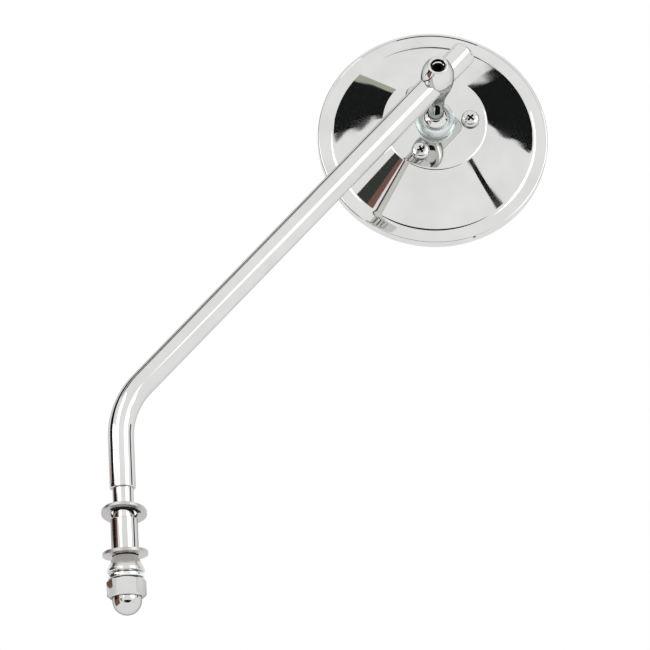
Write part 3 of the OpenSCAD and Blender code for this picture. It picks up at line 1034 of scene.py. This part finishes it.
class MIRROR_OT_inner_parts(bpy.types.Operator):
    """Gives the parts inside the head, and the set screw, their finishes"""

    bl_idname = "mirror.finish_inner_parts"
    bl_label = "Inner parts"

    def execute(self, context):
        inner = {
            "set_screw": "black_oxide_screw",
            "ball_liner": "natural_nylon",
            "clamp_plate": "blue_white_zinc_plate",
            "seal_ring": "black_seal_rubber",
            "backing_pad": "foam_sheet",
        }
        for node, finish_name in inner.items():
            solid = frame["nodes"][node]
            solid.data.materials.clear()
            solid.data.materials.append(finish(finish_name))
        return {"FINISHED"}


# The studio

# The photograph's camera, in metres, and the directions of its right and its back
CAMERA_PLACE = (-0.33193, -1.97881, -0.54745)
CAMERA_RIGHT = (0.979940, -0.193257, -0.048684)
CAMERA_BACK = (-0.198988, -0.935232, -0.292823)
CAMERA_LENS = 277.47

# Planes of the cards on both sides, as x in millimetres: the boards hang behind the left flags
LEFT, BEHIND_LEFT, RIGHT, FAR_RIGHT = -450, -456, 700, 3000
# Plane of the lit card, as y in millimetres
FRONT = -1500


def card(name, points, material):
    """A card beside the set, outside the picture, drawn through points in millimetres."""
    piece = trace(name, [tuple(c * MM for c in p) for p in points])
    edit()
    bpy.ops.mesh.edge_face_add()
    leave_edit()
    piece.data.materials.append(material)
    piece.visible_camera = False
    piece.visible_shadow = False
    return piece


def side_card(name, x, points, material):
    """A card to one side of the set, drawn through points of (y, z)."""
    return card(name, [(x, y, z) for y, z in points], material)


class MIRROR_OT_stage(bpy.types.Operator):
    """Builds the floor, the white surroundings, the dark flags, the lamps and the camera"""

    bl_idname = "mirror.build_stage"
    bl_label = "Stage"

    def execute(self, context):
        self.surroundings()
        self.floor()
        self.cards()
        self.lamps()
        self.camera()
        return {"FINISHED"}

    def surroundings(self):
        """White all round for the camera and in reflections, and softer light on matt surfaces."""
        world = bpy.data.worlds.new("white_tent")
        bpy.context.scene.world = world
        world.use_nodes = True
        tree = world.node_tree
        tree.nodes.clear()
        path = add_node(tree, "LightPath").outputs
        rays = {0: path["Is Camera Ray"], 1: path["Is Glossy Ray"]}
        seen = add_node(tree, "Math", {"operation": "MAXIMUM", **rays}).outputs[0]
        rays = {0: seen, 1: path["Is Transmission Ray"]}
        clear = add_node(tree, "Math", {"operation": "MAXIMUM", **rays}).outputs[0]
        soft_light = {"Color": coloured(linear("#F4F4F4")), "Strength": 0.7}
        white_light = {"Color": coloured(finishes().background), "Strength": 1.0}
        soft = add_node(tree, "Background", soft_light).outputs[0]
        white = add_node(tree, "Background", white_light).outputs[0]
        mix = add_node(tree, "MixShader", {0: clear, 1: soft, 2: white})
        add_node(tree, "OutputWorld", {"Surface": mix.outputs[0]})

    def floor(self):
        """A pale floor well below the part, which doesn't show from beneath."""
        deselect()
        bpy.ops.mesh.primitive_plane_add(size=14.0, location=(0, 0, -1.2))
        floor = bpy.context.object
        floor.name = "pale_floor"
        material = new_finish("pale_floor_paper", floor_paper)
        tree = material.node_tree
        surface = next(n for n in tree.nodes if n.type == "OUTPUT_MATERIAL").inputs["Surface"]
        paper = surface.links[0].from_socket
        from_below = add_node(tree, "NewGeometry").outputs["Backfacing"]
        clear = add_node(tree, "BsdfTransparent").outputs[0]
        mix = add_node(tree, "MixShader", {0: from_below, 1: paper, 2: clear})
        tree.links.new(mix.outputs[0], surface)
        floor.data.materials.append(material)
        floor.visible_glossy = False

    def cards(self):
        """Black flags, coloured boards and a lit card, hidden from the camera and from shadows,
        which show in the chrome.
        """
        black = new_finish("black_flag_cloth", matt_card, "#232525")
        # The board and both cloths glow a little: painted light in place of the light that falls on
        # them
        brown = new_finish("brown_board", matt_card, "#75544B", 0.5)
        green = new_finish("dark_green_cloth", matt_card, "#3A3F3B", 0.3)
        dusk = new_finish("grey_green_cloth", matt_card, "#8E9284", 0.8)
        side_card("flag_left", LEFT, (
            (85, 1320), (150, 1300), (180, 1370), (170, 1290), (235, 1270), (170, 1000),
            (105, 770), (60, 600), (20, 500), (-28, 511), (-57, 427), (-40, 498), (-35, 528),
            (-62, 460), (-42, 541), (-14, 644), (-41, 561), (-60, 640), (-100, 640), (-45, 770),
            (20, 1000), (60, 1180)), black)
        side_card("flag_left_top", BEHIND_LEFT, (
            (90, 1280), (300, 1300), (345, 1600), (250, 1545), (180, 1590)), dusk)
        side_card("flag_left_slit", LEFT, (
            (-5, 30), (255, 30), (270, 170), (640, 1080), (760, 1400), (920, 1790), (510, 1790),
            (375, 1340), (270, 1010), (-20, 170)), black)
        side_card("flag_right", RIGHT, (
            (-110, 300), (-171, 322), (-184, 301), (-181, 317), (-165, 358), (-192, 325),
            (-169, 381), (-150, 450), (-210, 470), (-110, 660), (-28, 860), (36, 1040), (60, 1110),
            (127, 1113), (78, 942), (145, 1123), (136, 1077), (189, 1225), (250, 1240), (145, 905),
            (35, 620), (-35, 460), (-80, 360)), black)
        side_card("flag_right_slit", RIGHT, (
            (-214, 125), (-40, 125), (-40, 240), (-214, 240)), black)
        side_card("flag_far_right", FAR_RIGHT, (
            (-2720, -1120), (-2780, -1230), (-2830, -1320), (-2840, -1370), (-2630, -1180),
            (-2540, -1120), (-3160, -1830), (-3060, -1670), (-3150, -1740), (-3180, -1740),
            (-3180, -1700), (-3250, -1770), (-3430, -1960), (-3480, -1990)), black)
        glow = new_finish("lit_white_card", matt_card, "#FFFFFF", 1.3)
        card("bounce_card_right", [(x, FRONT, z) for x, z in (
            (450, 320), (560, 640), (640, 700), (1000, 380), (1450, 30), (950, 110),
            (540, 270))], glow)
        side_card("board_left", BEHIND_LEFT, (
            (-165, -250), (-165, 118), (100, 125), (300, 150), (390, 190), (520, 200), (520, 150),
            (330, 125), (320, -250)), brown)
        side_card("cloth_left", BEHIND_LEFT, (
            (-307, 56), (-207, 12), (-285, -103), (-385, -58)), green)
        side_card("cloth_left_edge", BEHIND_LEFT, (
            (-385, -58), (-285, -103), (-335, -185), (-425, -115)), brown)
        # The dark of the camera itself, on a card 80 mm behind it that faces the part
        camera = Vector(CAMERA_PLACE)
        way = (camera - BALL_CENTRE).normalized()
        shade = card("camera_shade", [(x, y, 0) for x, y in (
            (-1100, 0), (-800, -300), (-100, -560), (600, -520), (1300, -250), (1650, -60),
            (1300, 130), (500, 260), (-300, 280), (-800, 180))], black)
        place(shade, aimed(camera + way * 0.08, way))

    def lamp(self, name, place_mm, way, width, height, radiance, mirrored=True):
        """A soft box at a place, whose back points this way."""
        data = bpy.data.lights.new(name, "AREA")
        data.shape = "RECTANGLE"
        data.size = width
        data.size_y = height
        data.energy = radiance * math.pi * width * height
        lamp = bpy.data.objects.new(name, data)
        bpy.context.scene.collection.objects.link(lamp)
        lamp.matrix_world = aimed(Vector(place_mm) * MM, way)
        lamp.visible_camera = False
        lamp.visible_glossy = mirrored

    def lamps(self):
        """Soft boxes to the right and the left of the set, and one above that isn't mirrored."""
        right, left, up = (0.554, -0.821, 0.139), (-1, 0, 0), (-0.203, 0.352, 0.914)
        self.lamp("soft_box_right", (900, -1080, 640), right, 0.5, 0.9, 1.35)
        self.lamp("soft_box_left", (-452, -322, 185), left, 0.755, 0.11, 1.35)
        self.lamp("soft_box_left_high", (-452, -540, 440), left, 0.45, 0.36, 1.25)
        self.lamp("soft_box_top", (-155, 562, 1548), up, 0.6, 0.5, 1.2, mirrored=False)

    def camera(self):
        """The photograph's camera: below the part and a little to its left, with a long lens."""
        data = bpy.data.cameras.new("photo_camera")
        data.sensor_width = 36.0
        data.lens = CAMERA_LENS
        data.clip_start = 0.05
        data.clip_end = 50.0
        camera = bpy.data.objects.new("photo_camera", data)
        bpy.context.scene.collection.objects.link(camera)
        camera.rotation_mode = "QUATERNION"
        camera.location = CAMERA_PLACE
        back = Vector(CAMERA_BACK).normalized()
        up = back.cross(Vector(CAMERA_RIGHT).normalized()).normalized()
        turn = Matrix((up.cross(back), up, back)).transposed()
        camera.rotation_quaternion = turn.to_quaternion()
        bpy.context.scene.camera = camera
        bpy.context.scene.view_settings.view_transform = "Standard"


class MIRROR_PT_panel(bpy.types.Panel):
    """Lists the steps that build the mirror"""

    bl_idname = "MIRROR_PT_panel"
    bl_label = "Round mirror"
    bl_space_type = "VIEW_3D"
    bl_region_type = "UI"
    bl_category = "Mirror"

    def draw(self, context):
        for operator in OPERATORS:
            self.layout.operator(operator.bl_idname)
        for group in GROUPS:
            box = self.layout.box()
            owner = getattr(context.scene, group)
            for key in type(owner).__annotations__:
                box.prop(owner, key)


GROUPS = {
    "mirror_rod": RodSizes,
    "mirror_stack": StackSizes,
    "mirror_head": HeadSizes,
    "mirror_finishes": FinishColours,
}
OPERATORS = (
    MIRROR_OT_rod,
    MIRROR_OT_washers,
    MIRROR_OT_nut,
    MIRROR_OT_post,
    MIRROR_OT_head,
    MIRROR_OT_inner_parts,
    MIRROR_OT_stage,
)


def register():
    for cls in (*GROUPS.values(), *OPERATORS, MIRROR_PT_panel):
        bpy.utils.register_class(cls)
    for name, cls in GROUPS.items():
        setattr(bpy.types.Scene, name, bpy.props.PointerProperty(type=cls))


def unregister():
    for name in GROUPS:
        delattr(bpy.types.Scene, name)
    for cls in reversed((*GROUPS.values(), *OPERATORS, MIRROR_PT_panel)):
        bpy.utils.unregister_class(cls)


def main():
    register()
    bpy.ops.mirror.build_rod()
    bpy.ops.mirror.build_washers()
    bpy.ops.mirror.build_nut()
    bpy.ops.mirror.build_post()
    bpy.ops.mirror.build_head()
    bpy.ops.mirror.finish_inner_parts()
    bpy.ops.mirror.build_stage()


if __name__ == "__main__":
    main()
